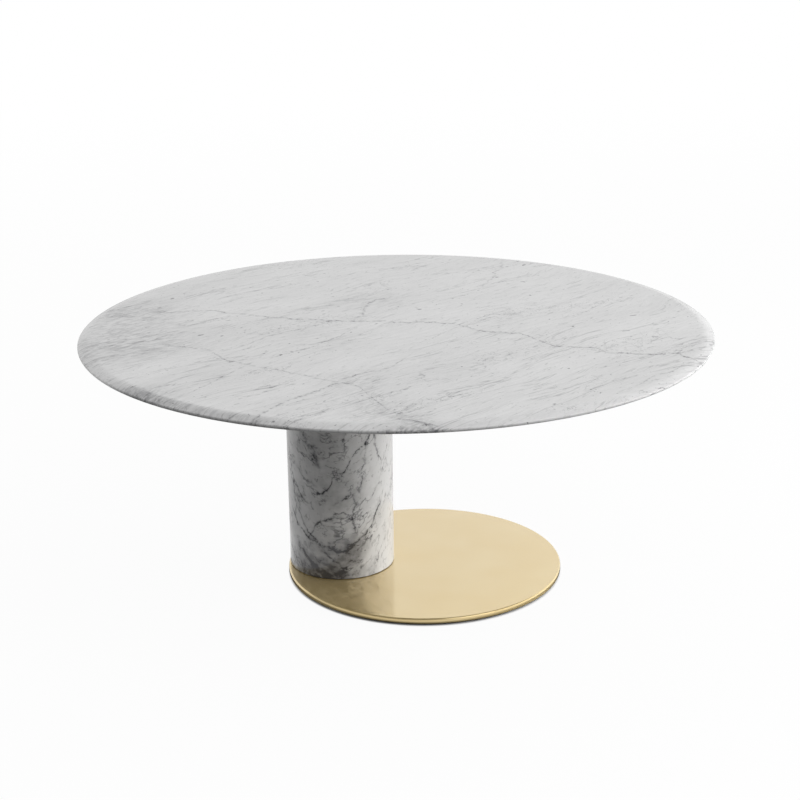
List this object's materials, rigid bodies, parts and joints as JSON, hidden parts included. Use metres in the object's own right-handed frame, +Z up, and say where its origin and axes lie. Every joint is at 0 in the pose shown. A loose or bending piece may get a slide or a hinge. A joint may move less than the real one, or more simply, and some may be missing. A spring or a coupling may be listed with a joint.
{
  "type": "round cocktail table",
  "caption": "Low round table with a thin-edged marble top on an off-centre marble column and a polished brass disc base, for drinks, books and trays.",
  "frame": {"origin": "on the floor, below the centre of the table top", "axes": "+Z up; +X from the column's axis towards the middle of the base; +Y makes the frame right-handed"},
  "size_m": [1, 1, 0.42],
  "materials": {
    "marble": "polished",
    "polished_brass": "polished",
    "black_steel": "satin",
    "zinc_steel": "satin",
    "turned_brass": "satin",
    "nylon": "matte",
    "gasket_rubber": "matte",
    "felt": "matte"
  },
  "bodies": {
    "root": {"table_top": "marble", "top_inserts": "turned_brass", "top_plate": "black_steel", "top_plate_screws": "zinc_steel", "core_top_flange": "zinc_steel", "core_washers": "zinc_steel", "core_bolts": "zinc_steel", "core_tube": "zinc_steel", "core_bottom_flange": "zinc_steel", "upper_centring_ring": "nylon", "lower_centring_ring": "nylon", "column_shell": "marble", "column_top_gasket": "gasket_rubber", "column_bottom_gasket": "gasket_rubber", "base_cover": "polished_brass", "base_plate": "black_steel", "base_bolts": "zinc_steel", "floor_pads": "felt"}
  },
  "joints": []
}
